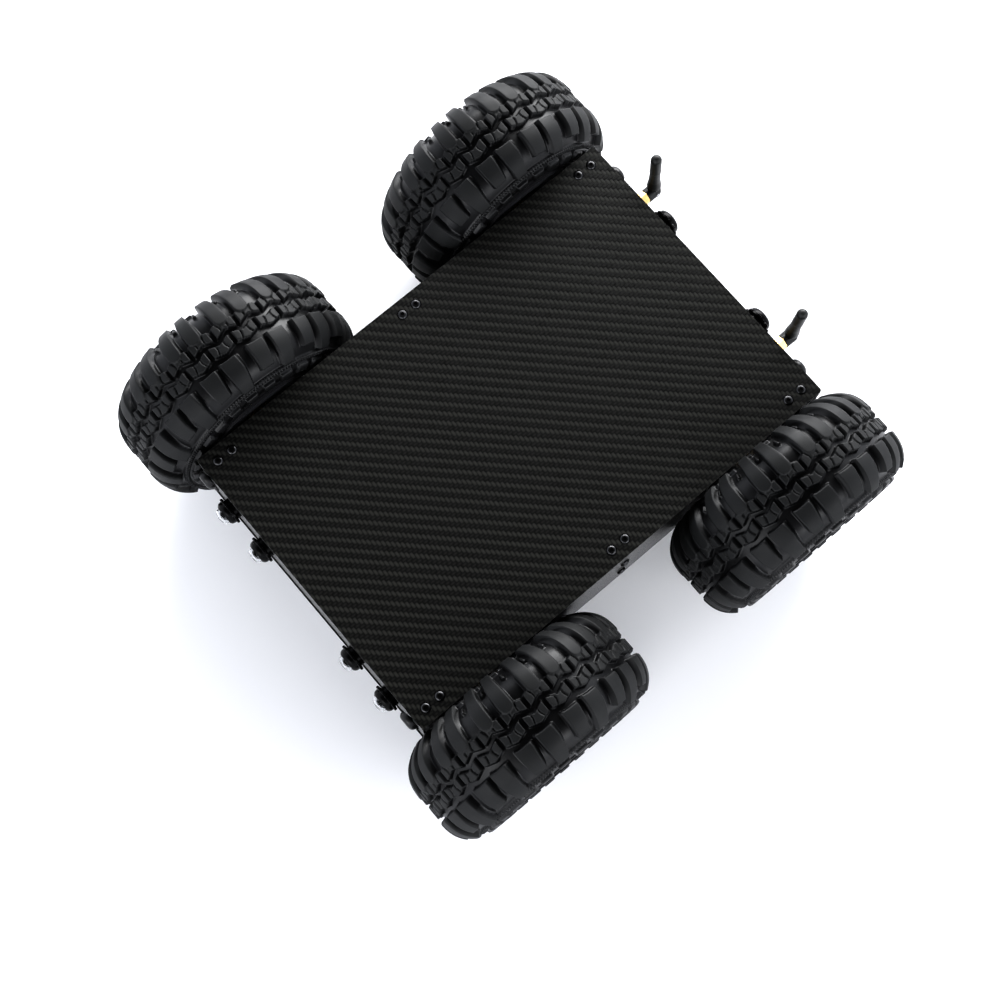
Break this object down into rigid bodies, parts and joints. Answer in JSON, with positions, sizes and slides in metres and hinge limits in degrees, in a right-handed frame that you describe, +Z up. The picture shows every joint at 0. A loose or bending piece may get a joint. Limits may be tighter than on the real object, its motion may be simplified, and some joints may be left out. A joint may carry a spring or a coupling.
{
  "type": "four wheel robot chassis",
  "caption": "Low rectangular carbon fibre robot chassis on off-road wheels, each driven by its own gearmotor, with headlamps, tail lamps and folding stub antennas.",
  "frame": {"origin": "on the ground, midway between the four wheels", "axes": "+X to the front, where the headlamps are; +Y to the left; +Z up"},
  "size_m": [0.35, 0.3326, 0.149],
  "materials": {
    "carbon_plate": "clear-coated black carbon fibre twill",
    "alloy": "machined",
    "black_screw": "black oxide",
    "bright_steel": "bright zinc",
    "bumper_rubber": "smooth",
    "motor_metal": "satin",
    "brass_hub": "machined",
    "rim_plastic": "moulded nylon",
    "tyre_rubber": "soft rubber",
    "lamp_black": "polished",
    "clear_lens": "clear",
    "red_lens": "smoked red",
    "gold_plate": "gold plated",
    "antenna_black": "semi-matte",
    "board_green": "solder mask",
    "white_nylon": "nylon",
    "battery_wrap": "shrink wrap",
    "strap_black": "woven",
    "lead_red": "silicone wire",
    "lead_black": "silicone wire"
  },
  "bodies": {
    "chassis": {"top_plate": "carbon_plate", "bottom_plate": "carbon_plate", "side_panel_left": "carbon_plate", "side_panel_right": "carbon_plate", "front_panel": "carbon_plate", "rear_panel": "carbon_plate", "spacer_blocks": "alloy", "top_plate_screws": "black_screw", "bottom_plate_screws": "black_screw", "side_panel_screws": "black_screw", "end_panel_screws": "black_screw", "motor_screws": "bright_steel", "corner_bumpers": "bumper_rubber", "gearmotor_front_left": "motor_metal", "gearmotor_front_right": "motor_metal", "gearmotor_rear_left": "motor_metal", "gearmotor_rear_right": "motor_metal", "headlamp_bodies": "lamp_black", "headlamp_lenses": "clear_lens", "tail_lamp_bodies": "lamp_black", "tail_lamp_lenses": "red_lens", "lamp_nuts": "bright_steel", "antenna_jacks": "gold_plate", "antenna_jack_nuts": "gold_plate", "antenna_plug_left": "gold_plate", "antenna_plug_right": "gold_plate", "control_board": "board_green", "board_posts": "white_nylon", "battery": "battery_wrap", "battery_strap": "strap_black", "motor_leads": "lead_red", "lamp_leads": "lead_black", "battery_lead": "lead_red", "antenna_cables": "lead_black"},
    "wheel_front_left": {"motor_shaft_front_left": "bright_steel", "wheel_hub_front_left": "brass_hub", "wheel_rim_front_left": "rim_plastic", "tyre_front_left": "tyre_rubber", "wheel_screw_front_left": "bright_steel"},
    "wheel_front_right": {"motor_shaft_front_right": "bright_steel", "wheel_hub_front_right": "brass_hub", "wheel_rim_front_right": "rim_plastic", "tyre_front_right": "tyre_rubber", "wheel_screw_front_right": "bright_steel"},
    "wheel_rear_left": {"motor_shaft_rear_left": "bright_steel", "wheel_hub_rear_left": "brass_hub", "wheel_rim_rear_left": "rim_plastic", "tyre_rear_left": "tyre_rubber", "wheel_screw_rear_left": "bright_steel"},
    "wheel_rear_right": {"motor_shaft_rear_right": "bright_steel", "wheel_hub_rear_right": "brass_hub", "wheel_rim_rear_right": "rim_plastic", "tyre_rear_right": "tyre_rubber", "wheel_screw_rear_right": "bright_steel"},
    "antenna_base_left": {"antenna_knuckle_left": "antenna_black", "antenna_pin_left": "bright_steel"},
    "antenna_rod_left": {"antenna_whip_left": "antenna_black"},
    "antenna_base_right": {"antenna_knuckle_right": "antenna_black", "antenna_pin_right": "bright_steel"},
    "antenna_rod_right": {"antenna_whip_right": "antenna_black"}
  },
  "joints": [
    {"name": "wheel_spin_front_left", "type": "hinge", "parent": "chassis", "child": "wheel_front_left", "pos_m": [0.1005, 0.13375, 0.0745], "axis": [0, 1, 0], "continuous": true},
    {"name": "wheel_spin_front_right", "type": "hinge", "parent": "chassis", "child": "wheel_front_right", "pos_m": [0.1005, -0.13375, 0.0745], "axis": [0, 1, 0], "continuous": true},
    {"name": "wheel_spin_rear_left", "type": "hinge", "parent": "chassis", "child": "wheel_rear_left", "pos_m": [-0.1005, 0.13375, 0.0745], "axis": [0, 1, 0], "continuous": true},
    {"name": "wheel_spin_rear_right", "type": "hinge", "parent": "chassis", "child": "wheel_rear_right", "pos_m": [-0.1005, -0.13375, 0.0745], "axis": [0, 1, 0], "continuous": true},
    {"name": "antenna_swivel_left", "type": "hinge", "parent": "chassis", "child": "antenna_base_left", "pos_m": [-0.1666, 0.061, 0.095], "axis": [1, 0, 0], "continuous": true},
    {"name": "antenna_fold_left", "type": "hinge", "parent": "antenna_base_left", "child": "antenna_rod_left", "pos_m": [-0.1666, 0.061, 0.095], "axis": [0, -1, 0], "range_deg": [0, 90]},
    {"name": "antenna_swivel_right", "type": "hinge", "parent": "chassis", "child": "antenna_base_right", "pos_m": [-0.1666, -0.061, 0.095], "axis": [1, 0, 0], "continuous": true},
    {"name": "antenna_fold_right", "type": "hinge", "parent": "antenna_base_right", "child": "antenna_rod_right", "pos_m": [-0.1666, -0.061, 0.095], "axis": [0, -0.9954, -0.0958], "range_deg": [0, 90]}
  ]
}
